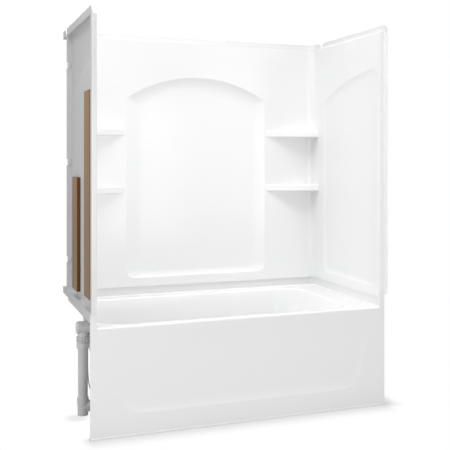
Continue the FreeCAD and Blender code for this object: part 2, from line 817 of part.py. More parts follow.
def overflow_knob():
    centre, normal = overflow_frame()
    base = centre + normal * (plate_thickness + plate_boss_height + knob_standoff)
    dial = rod(knob_radius, base, normal, knob_thickness)
    side = Vector(0, 1, 0)
    rise = normal.cross(side)
    grips = []
    grip_ring_radius = knob_radius + knob_grip_radius / 2
    for index in range(knob_grip_count):
        angle = 2 * math.pi * index / knob_grip_count
        place = base + (side * math.cos(angle) + rise * math.sin(angle)) * grip_ring_radius
        grips.append(rod(knob_grip_radius, place - normal * overrun, normal, knob_thickness + 2 * overrun))
    shaft = rod(knob_shaft_radius, centre - normal * knob_shaft_reach, normal,
                knob_shaft_reach + plate_thickness + plate_boss_height + knob_standoff + knob_thickness / 2)
    return joined(dial.cut(grips), shaft)


def drive_cam():
    centre, normal = overflow_frame()
    base = centre - normal * (knob_shaft_reach - seat_gap)
    side = Vector(0, 1, 0)
    hub = rod(cam_hub_radius, base, normal, cam_thickness)
    pin_place = base + side * cam_arm_length
    end = rod(cam_pin_radius, pin_place, normal, cam_thickness)
    rise = normal.cross(side)
    half = rise * cam_pin_radius
    arm = prism([base + half, base - half, pin_place - half, pin_place + half], normal * cam_thickness)
    bore = rod(knob_shaft_radius + running_gap, base - normal * overrun, normal, cam_thickness + 2 * overrun)
    return joined(hub, arm, end).cut(bore)


# Drain

def drain_flange():
    floor = Vector(drain_x, drain_y, floor_z)
    top = floor + up * drain_flange_thickness
    disc = rod(drain_flange_radius, floor, up, drain_flange_thickness)
    disc = rounded(disc, drain_flange_thickness / 2, lambda b: same(b.ZMin, top.z))
    barrel = rod(drain_barrel_radius, top - up * drain_barrel_length, up, drain_barrel_length)
    inner = drain_barrel_radius - drain_barrel_wall
    bore = rod(inner, top - up * (drain_barrel_length + overrun), up, drain_barrel_length + 2 * overrun)
    shell = joined(disc, barrel).cut(bore)
    spider_low = Vector(drain_x, drain_y, top.z - spider_drop - spider_thickness)
    hub = rod(spider_hub_radius, spider_low, up, spider_thickness)
    reach = inner + drain_barrel_wall / 2
    half = spider_rib_width / 2
    ribs = [box(drain_x - reach, drain_x + reach, drain_y - half, drain_y + half,
                spider_low.z, spider_low.z + spider_thickness),
            box(drain_x - half, drain_x + half, drain_y - reach, drain_y + reach,
                spider_low.z, spider_low.z + spider_thickness)]
    stem_way = rod(stem_radius + running_gap, spider_low - up * overrun, up, spider_thickness + 2 * overrun)
    return joined(shell, hub, *ribs).cut(stem_way)


def drain_gasket():
    low = Vector(drain_x, drain_y, floor_under_z - drain_gasket_thickness)
    return tube(drain_gasket_radius, drain_barrel_radius + socket_gap, low, up, drain_gasket_thickness)


def shoe_top_z():
    return floor_under_z - drain_gasket_thickness


def shoe_floor_z():
    return arm_z - pipe_bore_radius


def drain_shoe():
    top = Vector(drain_x, drain_y, shoe_top_z())
    low = Vector(drain_x, drain_y, shoe_floor_z() - shoe_wall)
    flange = rod(shoe_flange_radius, top - up * shoe_flange_thickness, up, shoe_flange_thickness)
    barrel = rod(shoe_radius, low, up, top.z - low.z)
    hub_start = Vector(drain_x - shoe_hub_length, drain_y, arm_z)
    hub = rod(hub_radius, hub_start, right, shoe_hub_length)
    port = rod(port_radius, Vector(drain_x, drain_y, port_z), Vector(0, 1, 0), port_reach)
    solid = joined(flange, barrel, hub, port)
    chamber = rod(drain_barrel_radius + running_gap, low + up * shoe_wall, up, top.z)
    throat = rod(pipe_bore_radius, hub_start - right * overrun, right, shoe_hub_length + overrun)
    socket = rod(socket_radius, hub_start - right * overrun, right, shoe_socket_depth + overrun)
    shell = solid.cut([chamber, throat, socket])
    guide_top = plunger_low_z() + plunger_length / 2
    guide = rod(guide_radius, low, up, guide_top - low.z)
    guide_bore = rod(plunger_radius + running_gap, low + up * shoe_wall, up, guide_top)
    cable_way = rod(cable_radius + running_gap, Vector(drain_x, drain_y, port_z), Vector(0, 1, 0),
                    port_reach + overrun)
    return joined(shell, guide).cut([guide_bore, cable_way])


def stopper_low_z():
    return floor_z + drain_flange_thickness + seat_gap


def plunger_low_z():
    return stem_low_z() - plunger_length


def stem_low_z():
    return stopper_low_z() + seal_thickness - stem_length


def stopper_seal():
    low = Vector(drain_x, drain_y, stopper_low_z())
    return tube(seal_radius, stem_radius + running_gap, low, up, seal_thickness)


def stopper_cap():
    low = Vector(drain_x, drain_y, stopper_low_z() + seal_thickness)
    disc = rod(stopper_radius, low, up, stopper_thickness)
    return rounded(disc, stopper_dome_radius, lambda b: same(b.ZMin, low.z + stopper_thickness))


def stopper_stem():
    return rod(stem_radius, Vector(drain_x, drain_y, stem_low_z()), up, stem_length)


def lift_plunger():
    return rod(plunger_radius, Vector(drain_x, drain_y, plunger_low_z()), up, plunger_length)


# Cable and its nuts

def cable_start():
    z = overflow_z - overflow_radius - cable_port_drop
    return Vector(left_x + cable_port_from_end, drain_y + cable_port_back, z)


def cable_mouth():
    return Vector(drain_x, drain_y + port_reach, port_z)


def cable_route():
    between = [Vector(left_x + from_end, drain_y + back, z) for from_end, back, z in cable_points]
    return [cable_start()] + between + [cable_mouth()]


def rounded_path(points):
    """Straight runs joined by tangent arcs as large as the runs allow."""
    edges = []
    radii = []
    last = points[0]
    for before, point, after in zip(points, points[1:], points[2:]):
        into = (point - before).normalize()
        out = (after - point).normalize()
        half_turn = into.getAngle(out) / 2
        reach = cable_bend_share * min((point - before).Length, (after - point).Length)
        start = point - into * reach
        end = point + out * reach
        radius = reach / math.tan(half_turn)
        bisector = (out - into).normalize()
        middle = point + bisector * (radius / math.cos(half_turn) - radius)
        edges.append(Part.makeLine(last, start))
        edges.append(Part.Arc(start, middle, end).toShape())
        radii.append(radius)
        last = end
    edges.append(Part.makeLine(last, points[-1]))
    return Part.Wire(edges), radii


def operating_cable():
    points = cable_route()
    path, radii = rounded_path(points)
    first = (points[1] - points[0]).normalize()
    section = Part.Wire(Part.makeCircle(cable_radius, points[0], first))
    solid = path.makePipeShell([section], True, False)
    expected = math.pi * cable_radius ** 2 * path.Length
    print("cable length", round(path.Length), "least radius", round(min(radii)),
          "volume ratio", round(solid.Volume / expected, 4))
    return solid


def cable_nuts():
    nuts = []
    for place, along in ((cable_start(), Vector(0, 0, -1)), (cable_mouth(), Vector(0, 1, 0))):
        start = place + along * seat_gap
        nuts.append(tube(cable_nut_radius, cable_radius + running_gap, start, along, cable_nut_height))
    return Part.makeCompound(nuts)


# Named pieces

def build():
    left_wall = left_end_wall()
    clips = left_wall_clips()
    long_front_y = apron_y + long_backer_front
    long_backer = left_backer(long_front_y, long_backer_foot_rise, long_backer_head_rise)
    short_front_y = seam_y - short_backer_from_seam - backer_width
    short_backer = left_backer(short_front_y, short_backer_foot_rise, short_backer_head_rise)
    return {
        "bathtub": bathtub(),
        "base_board": base_board(),
        "base_runners": base_runners(),
        "back_wall": back_wall(),
        "left_end_wall": left_wall,
        "right_end_wall": mirrored(left_wall),
        "left_wall_clips": clips,
        "right_wall_clips": mirrored(clips),
        "left_long_backer": long_backer,
        "left_short_backer": short_backer,
        "right_long_backer": mirrored(long_backer),
        "right_short_backer": mirrored(short_backer),
        "overflow_body": overflow_body(),
        "overflow_gasket": overflow_gasket(),
        "overflow_plate": overflow_plate(),
        "overflow_screws": overflow_screws(),
        "overflow_knob": overflow_knob(),
        "drive_cam": drive_cam(),
        "riser_nut": riser_nut(),
        "riser_washer": riser_washer(),
        "riser_adapter": riser_adapter(),
        "riser_pipe": riser_pipe(),
        "waste_tee": waste_tee(),
        "waste_arm": waste_arm(),
        "drain_shoe": drain_shoe(),
        "drain_gasket": drain_gasket(),
        "drain_flange": drain_flange(),
        "stopper_cap": stopper_cap(),
        "stopper_seal": stopper_seal(),
        "stopper_stem": stopper_stem(),
        "lift_plunger": lift_plunger(),
        "operating_cable": operating_cable(),
        "cable_nuts": cable_nuts(),
    }


os.makedirs("parts", exist_ok=True)
for name, shape in build().items():
    shape.exportStep("parts/" + name + ".step")
    print(name, "solids", len(shape.Solids), "valid", shape.isValid(), "volume", round(shape.Volume))
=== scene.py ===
import bpy
import bmesh
import math
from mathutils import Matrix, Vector


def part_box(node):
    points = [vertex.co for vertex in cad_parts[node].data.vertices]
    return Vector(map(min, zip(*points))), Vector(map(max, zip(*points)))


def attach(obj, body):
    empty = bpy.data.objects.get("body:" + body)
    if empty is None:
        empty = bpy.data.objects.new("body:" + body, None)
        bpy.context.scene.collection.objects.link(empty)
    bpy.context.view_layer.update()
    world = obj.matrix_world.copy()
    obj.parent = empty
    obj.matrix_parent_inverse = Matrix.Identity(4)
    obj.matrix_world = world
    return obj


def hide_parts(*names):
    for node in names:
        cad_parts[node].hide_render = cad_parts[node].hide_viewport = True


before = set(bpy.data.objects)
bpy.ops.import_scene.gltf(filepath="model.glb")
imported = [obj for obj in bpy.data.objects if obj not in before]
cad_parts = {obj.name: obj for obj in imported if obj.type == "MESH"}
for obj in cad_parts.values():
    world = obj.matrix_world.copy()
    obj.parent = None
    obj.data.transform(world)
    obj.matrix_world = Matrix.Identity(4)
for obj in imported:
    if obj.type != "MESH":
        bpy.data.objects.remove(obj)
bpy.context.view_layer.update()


# The camera stands in front of the left end at about eye height of a seated
# person. It looks level, and the lens is shifted down as on a view camera, so
# that the unit's upright edges stay upright in the picture.
view = bpy.data.cameras.new("view")
view.sensor_width = 36.0
view.lens = 62.584
view.shift_y = -0.1496
camera = bpy.data.objects.new("view", view)
camera.location = (-1.4107, -3.9043, 1.2786)
camera.rotation_euler = (math.radians(90), 0, math.radians(-20.22))
bpy.context.scene.collection.objects.link(camera)
bpy.context.scene.camera = camera


# The push-pull cable works the drain stopper from the overflow knob. It is a
# steel wire in a plastic sheath 5 mm thick, held by a nut at each end, and
# hangs in one easy bow from the overflow down to the side of the drain shoe.
cable_route = [
    (-0.7000, 0.0195, 0.401), (-0.7000, 0.0195, 0.346), (-0.7000, 0.0205, 0.290),
    (-0.6995, 0.0225, 0.236), (-0.6975, 0.0265, 0.182), (-0.6910, 0.0320, 0.132),
    (-0.6760, 0.0385, 0.092), (-0.6470, 0.0475, 0.064), (-0.6080, 0.0585, 0.049),
    (-0.5650, 0.0745, 0.041), (-0.5220, 0.0905, 0.036), (-0.4860, 0.0955, 0.0335),
    (-0.4720, 0.0735, 0.032), (-0.4720, 0.0375, 0.032),
]
sheath_radius = 0.0025
cable_line = bpy.data.curves.new("cable_sheath", "CURVE")
cable_line.dimensions = "3D"
cable_run = cable_line.splines.new("NURBS")
cable_run.points.add(len(cable_route) - 1)
for point, place in zip(cable_run.points, cable_route):
    point.co = (*place, 1)
cable_run.order_u = 3
cable_run.use_endpoint_u = True
cable_line.resolution_u = 10
cable_line.bevel_depth = sheath_radius
cable_line.bevel_resolution = 5
cable_line.use_fill_caps = True
cable = bpy.data.objects.new("cable_sheath", cable_line)
bpy.context.scene.collection.objects.link(cable)
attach(cable, "unit")
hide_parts("operating_cable")


class Wire:
    """A socket in a material. Sums and products of it add Math nodes."""

    def __init__(self, tree, socket):
        self.tree = tree
        self.socket = socket

    def node(self, kind, output, inputs, **settings):
        """Adds a node: its settings first, then the values or links of its sockets."""
        made = self.tree.nodes.new("ShaderNode" + kind)
        for name, value in settings.items():
            setattr(made, name, value)
        for key, value in inputs.items():
            if isinstance(value, Wire):
                self.tree.links.new(value.socket, made.inputs[key])
            else:
                made.inputs[key].default_value = value
        return Wire(self.tree, made.outputs[output])

    def __add__(self, other):
        return self.node("Math", 0, {0: self, 1: other}, operation="ADD")

    def __sub__(self, other):
        return self.node("Math", 0, {0: self, 1: other}, operation="SUBTRACT")

    def __rsub__(self, other):
        return self.node("Math", 0, {0: other, 1: self}, operation="SUBTRACT")

    def __mul__(self, other):
        return self.node("Math", 0, {0: self, 1: other}, operation="MULTIPLY")

    def __gt__(self, other):
        return self.node("Math", 0, {0: self, 1: other}, operation="GREATER_THAN")

    def __lt__(self, other):
        return self.node("Math", 0, {0: self, 1: other}, operation="LESS_THAN")

    __radd__ = __add__
    __rmul__ = __mul__

    def __abs__(self):
        return self.node("Math", 0, {0: self}, operation="ABSOLUTE")

    def either(self, other):
        """The larger of two masks."""
        return self.node("Math", 0, {0: self, 1: other}, operation="MAXIMUM")

    def fade(self, start, end):
        """0 up to start, 1 from end on, and smooth in between."""
        return self.node("MapRange", 0, {0: self, 1: start, 2: end},
                         interpolation_type="SMOOTHSTEP")

    def apart(self, axis):
        """One of the three numbers of a place or direction."""
        return self.node("SeparateXYZ", "XYZ".index(axis), {0: self})

    def stretched(self, scale):
        """The place with its pattern scaled along the three axes."""
        return self.node("Mapping", 0, {"Vector": self, "Scale": scale}, vector_type="POINT")

    def noise(self, scale, detail=2.0, roughness=0.5):
        """An even cloud of values from 0 to 1 round this place."""
        return self.node("TexNoise", 0, {"Vector": self, "Scale": scale, "Detail": detail,
                                         "Roughness": roughness})

    def blended(self, first, second):
        """The first colour where this mask is 0, the second where it is 1."""
        return self.node("Mix", 2, {0: self, 6: first, 7: second}, data_type="RGBA")

    def relief(self, strength=1.0, distance=1.0):
        """The direction a surface faces once this value, in metres, raises it."""
        return self.node("Bump", 0, {"Height": self, "Strength": strength, "Distance": distance})


def new_finish(name):
    """A material, with the place on the piece and the piece's own facing."""
    material = bpy.data.materials.new(name)
    material.use_nodes = True
    tree = material.node_tree
    coordinates = tree.nodes.new("ShaderNodeTexCoord")
    place = Wire(tree, coordinates.outputs["Object"])
    facing = Wire(tree, coordinates.outputs["Normal"])
    return material, place, facing


def set_shader(material, **sockets):
    """Sets or links the shader's sockets. Base_Color stands for Base Color."""
    shader = material.node_tree.nodes["Principled BSDF"]
    for key, value in sockets.items():
        socket = shader.inputs[key.replace("_", " ")]
        if isinstance(value, Wire):
            material.node_tree.links.new(value.socket, socket)
        else:
            socket.default_value = value


def wear(piece, material):
    """The material becomes the piece's only one."""
    piece.data.materials.clear()
    piece.data.materials.append(material)


sheath, place, _ = new_finish("cable_sheath")
mottle = place.noise(90.0, 3.0)
set_shader(sheath, Base_Color=mottle.blended((0.42, 0.42, 0.43, 1), (0.55, 0.55, 0.56, 1)),
           Roughness=mottle * 0.15 + 0.38)
wear(cable, sheath)


# The studio has a pale floor that runs on into a white background. From just in front of the
# apron's foot back under the unit, its colour is painted darker, as painted shadow. The light is
# soft and even: a weak sky, a wide panel in front, three above, and a smaller one at each side for
# the faces that the others don't reach.
def backdrop_rays(tree):
    """1 for a ray from the camera, or from a mirror or glass that it looks at."""
    rays = tree.nodes.new("ShaderNodeLightPath")
    direct, mirrored, clear = (Wire(tree, rays.outputs[f"Is {kind} Ray"])
                               for kind in ("Camera", "Glossy", "Transmission"))
    return direct + mirrored + clear


def contact_shade(place):
    """1 where the unit is close above the floor: along the apron's foot and
    under the tub, and half of that round the tee's foot."""
    x, y = place.apart("X"), place.apart("Y")
    along_apron = y.fade(-0.53, -0.37) * y.fade(-0.33, -0.39) * abs(x).fade(0.81, 0.75)
    under_tub = x.fade(-0.62, -0.45) * x.fade(0.88, 0.76) * abs(y).fade(0.46, 0.38)
    tee_foot = (-0.765, -0.045, 0.0)
    from_tee = place.node("VectorMath", "Value", {0: place, 1: tee_foot}, operation="DISTANCE")
    return along_apron.either(under_tub).either(from_tee.fade(0.08, 0.02) * 0.5)


bpy.ops.object.select_all(action="DESELECT")
bpy.ops.mesh.primitive_plane_add(size=24, location=(0, 6, 0))
floor = bpy.context.object
floor.name = "studio_floor"
bpy.ops.object.transform_apply(location=True, rotation=True, scale=True)
floor_paint = bpy.data.materials.new("studio_floor")
floor_paint.use_nodes = True
tree = floor_paint.node_tree
floor_place = Wire(tree, tree.nodes.new("ShaderNodeTexCoord").outputs["Object"])
seen = backdrop_rays(tree) * (1.0 - contact_shade(floor_place) * 0.50)
glow = tree.nodes.new("ShaderNodeEmission")
glow.inputs["Color"].default_value = (1, 1, 1, 1)
glow.inputs["Strength"].default_value = 1.0
both = tree.nodes.new("ShaderNodeMixShader")
tree.links.new(seen.socket, both.inputs[0])
tree.links.new(tree.nodes["Principled BSDF"].outputs[0], both.inputs[1])
tree.links.new(glow.outputs[0], both.inputs[2])
tree.links.new(both.outputs[0], tree.nodes["Material Output"].inputs["Surface"])
# Painted shadow: the floor's colour is darker from just in front of the apron's foot back under the
# unit.
painted_shadow_near_apron = floor_place.apart("Y").fade(-0.62, -0.42)
set_shader(floor_paint, Roughness=0.9,
           Base_Color=painted_shadow_near_apron.blended((0.72, 0.72, 0.72, 1), (0.50, 0.50, 0.50, 1)))
wear(floor, floor_paint)

bpy.context.scene.view_settings.view_transform = "Standard"
sky = bpy.data.worlds.new("sky")
sky.use_nodes = True
bpy.context.scene.world = sky
tree = sky.node_tree
sky_light, sky_shown = 0.25, 1.0
seen = backdrop_rays(tree)
level = seen.node("MapRange", 0, {0: seen, 3: sky_light, 4: sky_shown})
tree.nodes["Background"].inputs["Color"].default_value = (1, 1, 1, 1)
tree.links.new(level.socket, tree.nodes["Background"].inputs["Strength"])


def hang_panel(name, place, aim, width, height, power):
    """A soft rectangular lamp that faces a point."""
    lamp = bpy.data.lights.new(name, "AREA")
    lamp.shape = "RECTANGLE"
    lamp.size = width
    lamp.size_y = height
    lamp.energy = power
    held = bpy.data.objects.new(name, lamp)
    held.location = place
    held.rotation_euler = (Vector(aim) - Vector(place)).to_track_quat("-Z", "Y").to_euler()
    bpy.context.scene.collection.objects.link(held)


hang_panel("front_panel", (0.0, -4.6, 1.1), (0.0, 0.0, 0.9), 3.0, 1.6, 37.5)
hang_panel("high_panel", (-0.3, -1.3, 6.0), (0.0, -0.05, 0.5), 3.0, 2.0, 41)
hang_panel("top_panel", (-0.1, -0.5, 4.4), (0.0, 0.0, 0.5), 2.2, 1.4, 52)
hang_panel("left_top_panel", (-1.9, -0.9, 4.0), (0.5, 0.1, 0.8), 1.8, 1.6, 28)
hang_panel("left_panel", (-2.6, -1.1, 1.2), (0.7, 0.0, 1.1), 0.6, 1.6, 14.5)
hang_panel("right_panel", (2.4, -3.6, 1.6), (-0.3, 0.2, 0.9), 2.0, 2.0, 20)


# The tub, the back wall and the two end walls are moulded composite panels 4
# to 6 mm thick. The side that faced the mould is glossy white with the faint
# orange peel of a sprayed mould; the side behind is grey-white and matt.
joint_height = 0.5710
flange_foot = 1.9285
upstand_foot = 0.5125
basin_floor = 0.1215


def nailing_flange(place, facing):
    """1 on the flange along a panel's top, which is painted a greyer white as painted shade."""
    return place.apart("Z") > flange_foot


def white_moulding(name, is_raw, is_shaded_dull=nailing_flange, grip=None):
    """Finish of one moulding. is_raw gives 1 on the side that faced no mould, and is_shaded_dull
    gives 1 where the gloss is duller and the white is painted a greyer shade, as painted shade."""
    material, place, facing = new_finish(name)
    raw = is_raw(place, facing)
    cloud = place.noise(1.7, 2.0)
    shade_and_dull = is_shaded_dull(place, facing)
    gel = cloud.blended((0.922, 0.924, 0.927, 1), (0.938, 0.938, 0.938, 1))
    # Painted shade: where is_shaded_dull is 1, the gloss white is painted a greyer white that
    # stands in for shade.
    gel = shade_and_dull.blended(gel, (0.830, 0.830, 0.833, 1))
    fibres = place.stretched((1.0, 1.0, 0.35)).noise(42.0, 5.0, 0.65)
    back = fibres.blended((0.585, 0.585, 0.595, 1), (0.70, 0.70, 0.71, 1))
    colour = raw.blended(gel, back)
    polish = place.noise(6.0, 3.0) * 0.06 + 0.13
    roughness = polish + raw.either(shade_and_dull) * 0.42
    swell = place.noise(2.6, 1.0) * 0.0009
    peel = place.noise(260.0, 1.0) * 0.00001
    weave = fibres * 0.0009 * raw
    height = swell + peel + weave
    if grip:
        height = height + grip(place, facing)
    set_shader(material, Base_Color=colour, Roughness=roughness, Normal=height.relief())
    return material


def tub_raw(place, facing):
    """1 below and behind the tub, and on the edges where it was trimmed."""
    x, y = place.apart("X"), place.apart("Y")
    under = facing.apart("Z") < -0.04
    behind_apron = (y > -0.3860) * (y < -0.3700) * (facing.apart("Y") > 0.5)
    past_web = (y > -0.3840) * (abs(x) > 0.7430).either(y > 0.3885)
    return under.either(behind_apron).either(past_web)


def upstand_painted_shade(place, facing):
    """Painted shade on the upstand's upright faces above the deck, strong along the back and faint
    at the ends, standing in for the shade under the wall's overhang. The gloss is duller there too.
    """
    upright = (facing.apart("Z") < 0.6) * (facing.apart("Z") > -0.6)
    along_back = (facing.apart("Y") < -0.5) * 0.75 + 0.15
    above_deck = (place.apart("Z") > upstand_foot) * (place.apart("Y") > -0.36)
    return above_deck * upright * along_back


def tub_grip(place, facing):
    """Small round bumps on the tub's floor, so that wet feet hold."""
    x, y, z = (place.apart(axis) for axis in "XYZ")
    cells = place.node("TexVoronoi", 0, {"Vector": place, "Scale": 46.0, "Randomness": 0.0},
                       voronoi_dimensions="2D")
    dots = 1.0 - cells.fade(0.22, 0.34)
    inside = (x > -0.40) * (x < 0.26) * (y > -0.20) * (y < 0.17)
    inside = inside * (z < basin_floor) * (facing.apart("Z") > 0.9)
    return dots * inside * 0.0006


tub_finish = white_moulding("tub_moulding", tub_raw, upstand_painted_shade, tub_grip)
wear(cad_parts["bathtub"], tub_finish)


def back_wall_raw(place, facing):
    """1 on all that faces away from the tub, below the top flange."""
    x, y, z = (place.apart(axis) for axis in "XYZ")
    at_return = abs(x) > 0.7365
    outward = (facing.apart("Y") > 0.3).either(at_return * (facing.apart("Z") < -0.3))
    outward = outward.either(x * facing.apart("X") > 0.02)
    behind = (y > 0.3925).either(at_return) * (z < flange_foot) * (z > joint_height)
    return outward.either(behind * (abs(facing.apart("Z")) > 0.5))


def end_wall_raw(sign):
    """The mask for the left end wall with sign -1, and for the right with 1."""
    def raw(place, facing):
        x, y, z = (place.apart(axis) for axis in "XYZ")
        out = x * sign
        outward = facing.apart("X") * sign > 0.3
        outward = outward.either((facing.apart("Y") > 0.5) * (y < -0.3860))
        behind = (out > 0.7400).either((out > 0.7360) * (y > 0.2840))
        behind = behind * (y > -0.3868) * (z < flange_foot) * (z > joint_height)
        return outward.either(behind)
    return raw


for node, name, is_raw in (("back_wall", "back_wall_moulding", back_wall_raw),
                           ("left_end_wall", "left_wall_moulding", end_wall_raw(-1.0)),
                           ("right_end_wall", "right_wall_moulding", end_wall_raw(1.0))):
    wear(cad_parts[node], white_moulding(name, is_raw))


# Boards of raw plywood stiffen the unit. Two are bonded behind each end wall,
# for grab bars, and one lies under the tub's floor on three runners of solid
# softwood that stand on the subfloor. Their edges are just broken by sanding.
def fresh_block(name, low, high):
    """A block between two corners, in edit mode with nothing selected."""
    bpy.ops.object.select_all(action="DESELECT")
    low, high = Vector(low), Vector(high)
    bpy.ops.mesh.primitive_cube_add(size=1, location=(low + high) / 2)
    piece = bpy.context.object
    piece.name = piece.data.name = name
    bpy.ops.transform.resize(value=high - low)
    bpy.ops.object.transform_apply(location=True, rotation=True, scale=True)
    bpy.ops.object.mode_set(mode="EDIT")
    bpy.ops.mesh.select_all(action="DESELECT")
    return piece


def pick(piece, kind, test):
    """Selects the faces or edges of which test(middle, direction) is true."""
    bpy.ops.mesh.select_mode(type=kind)
    bpy.ops.mesh.select_all(action="DESELECT")
    shape = bmesh.from_edit_mesh(piece.data)
    if kind == "FACE":
        for face in shape.faces:
            face.select_set(bool(test(face.calc_center_median(), face.normal)))
    else:
        for edge in shape.edges:
            start, end = (corner.co for corner in edge.verts)
            edge.select_set(bool(test((start + end) / 2, (end - start).normalized())))
    bmesh.update_edit_mesh(piece.data)


def break_edges(width, segments=2, angle=30):
    """Bevels every edge that turns more than the angle."""
    bpy.ops.mesh.select_mode(type="EDGE")
    bpy.ops.mesh.select_all(action="DESELECT")
    bpy.ops.mesh.edges_select_sharp(sharpness=math.radians(angle))
    bpy.ops.mesh.bevel(offset=width, segments=segments, profile=0.5)


def leave(piece, angle=35):
    """Closes edit mode and smooths the piece's soft edges."""
    bpy.ops.object.mode_set(mode="OBJECT")
    bpy.ops.object.shade_smooth_by_angle(angle=math.radians(angle))


def fit(piece, material, slot, *nodes, body="unit"):
    """The finished piece gets its material and stands for its CAD nodes."""
    wear(piece, material)
    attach(piece, body)
    if nodes:
        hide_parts(*nodes)


def plywood(name, grain, across, start):
    """Raw plywood: long grain on the faces, and plies where it was sawn. The
    plies lie across one axis and are counted from start."""
    material, place, facing = new_finish(name)
    squeeze = tuple(0.07 if axis == grain else 1.0 for axis in "XYZ")
    long = place.stretched(squeeze)
    bands = long.node("TexWave", 1, {"Vector": long, "Scale": 9.0, "Distortion": 7.0, "Detail": 3.0,
                                     "Detail Scale": 1.4}, bands_direction=across)
    fine = long.noise(520.0, 4.0, 0.7)
    tint = long.noise(7.0, 2.0)
    face = bands.blended((0.302, 0.202, 0.122, 1), (0.416, 0.290, 0.186, 1))
    face = (fine * 0.75).blended(face, (0.225, 0.138, 0.075, 1))
    face = (tint * 0.5).blended(face, (0.424, 0.258, 0.150, 1))
    depth = place.apart(across) - start
    ply_pair = 0.0052
    within_pair = depth.node("Math", 0, {0: depth, 1: ply_pair}, operation="MODULO")
    end_grain = abs(within_pair).fade(0.0024, 0.0029)
    edge = end_grain.blended((0.225, 0.100, 0.034, 1), (0.100, 0.042, 0.013, 1))
    edge = (place.noise(300.0, 3.0) * 0.6).blended(edge, (0.062, 0.030, 0.010, 1))
    colour = (abs(facing.apart(across)) > 0.8).blended(edge, face)
    height = bands * 0.00012 + fine * 0.00020
    set_shader(material, Base_Color=colour, Roughness=0.72 - fine * 0.12,
               Specular_IOR_Level=0.2, Normal=height.relief())
    return material


def lay_board(node, name, ply):
    """A sheet of plywood that is as large as its CAD node."""
    board = fresh_block(name, *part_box(node))
    break_edges(0.0012)
    leave(board)
    fit(board, ply, "backer_wood", node)


for side, start in (("left", -0.761), ("right", 0.743)):
    backer_ply = plywood(f"{side}_backer_ply", "Z", "X", start)
    for reach in ("long", "short"):
        lay_board(f"{side}_{reach}_backer", f"{side}_{reach}_backer_board", backer_ply)
lay_board("base_board", "base_board_panel", plywood("base_board_ply", "X", "Z", 0.102))

runner_low, runner_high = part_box("base_runners")
runner_width = 0.038
runner_count = 3
runner_step = (runner_high.x - runner_low.x - runner_width) / (runner_count - 1)
runner_wood = plywood("runner_wood", "Y", "X", 0.0)
for index in range(runner_count):
    low = Vector((runner_low.x + runner_step * index, runner_low.y, runner_low.z))
    high = Vector((low.x + runner_width, runner_high.y, runner_high.z))
    runner = fresh_block(f"base_runner_{index + 1}", low, high)
    break_edges(0.003, 3)
    leave(runner)
    fit(runner, runner_wood, "backer_wood", "base_runners")


# Spring clips of white nylon pinch the outward returns of an end wall and the
# back wall together. Each is a U 26 mm high that slides over both returns, and
# its legs close in at their ends to grip them. Three hold each seam.
white_nylon, place, _ = new_finish("white_nylon")
cloud = place.noise(60.0, 3.0)
set_shader(white_nylon, Base_Color=cloud.blended((0.62, 0.62, 0.61, 1), (0.72, 0.72, 0.71, 1)),
           Roughness=cloud * 0.15 + 0.32, Normal=place.noise(700.0, 2.0).relief(0.25, 0.0004))
clip_low, clip_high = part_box("left_wall_clips")
clip_height = 0.026
clip_wall = 0.003
clip_rises = (0.0, 0.515, 1.030)
first_clip = fresh_block("left_clip_1", clip_low,
                         (clip_low.x + clip_wall, clip_high.y, clip_low.z + clip_height))
for side in (clip_low.y + clip_wall, clip_high.y - clip_wall):
    bpy.ops.mesh.select_all(action="SELECT")
    bpy.ops.mesh.bisect(plane_co=(0, side, 0), plane_no=(0, 1, 0))
middle_y = (clip_low.y + clip_high.y) / 2
half_gap = (clip_high.y - clip_low.y) / 2 - clip_wall
leg = clip_high.x - clip_low.x - clip_wall
pick(first_clip, "FACE",
     lambda middle, normal: normal.x > 0.9 and abs(middle.y - middle_y) > half_gap)
for share in (0.72, 0.28):
    bpy.ops.mesh.extrude_region_move(TRANSFORM_OT_translate={"value": (leg * share, 0, 0)})
leg_ends = (clip_high.x, middle_y, clip_low.z + clip_height / 2)
bpy.ops.transform.resize(value=(1, 0.94, 0.9), center_override=leg_ends)
break_edges(0.0007, 3, 20)
leave(first_clip)
bpy.context.view_layer.update()
for index, rise in enumerate(clip_rises):
    for side, turn in (("left", 0), ("right", 180)):
        if side == "left" and index == 0:
            continue
        clip = first_clip.copy()
        clip.data = first_clip.data.copy()
        clip.name = clip.data.name = f"{side}_clip_{index + 1}"
        bpy.context.scene.collection.objects.link(clip)
        bpy.ops.object.select_all(action="DESELECT")
        clip.select_set(True)
        bpy.context.view_layer.objects.active = clip
        clip.rotation_euler = (0, 0, math.radians(turn))
        clip.location = (0, 2 * middle_y if turn else 0, rise)
        bpy.ops.object.transform_apply(location=True, rotation=True, scale=True)
        fit(clip, white_nylon, "clip_plastic", f"{side}_wall_clips")
fit(first_clip, white_nylon, "clip_plastic", "left_wall_clips")


# The riser, the tee at its foot, the arm to the drain and the overflow's head
# are grey-white PVC drain pipe and fittings, pushed into sockets and glued.
def drain_plastic(name, low_colour, high_colour):
    """Drawn or moulded PVC, with faint upright streaks."""
    material, place, _ = new_finish(name)
    cloud = place.noise(18.0, 3.0)
    streak = place.stretched((1.0, 1.0, 0.08)).noise(120.0, 3.0, 0.6)
    colour = (cloud * 0.6 + streak * 0.4).blended(low_colour, high_colour)
    height = streak * 0.00006 + place.noise(600.0, 2.0) * 0.00002
    set_shader(material, Base_Color=colour, Roughness=streak * 0.14 + 0.30,
               Normal=height.relief())
    return material


pvc = drain_plastic("drain_pvc", (0.66, 0.66, 0.66, 1), (0.80, 0.80, 0.80, 1))
for node in ("riser_pipe", "waste_tee", "waste_arm", "riser_adapter", "overflow_body",
             "drain_shoe"):
    wear(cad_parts[node], pvc)


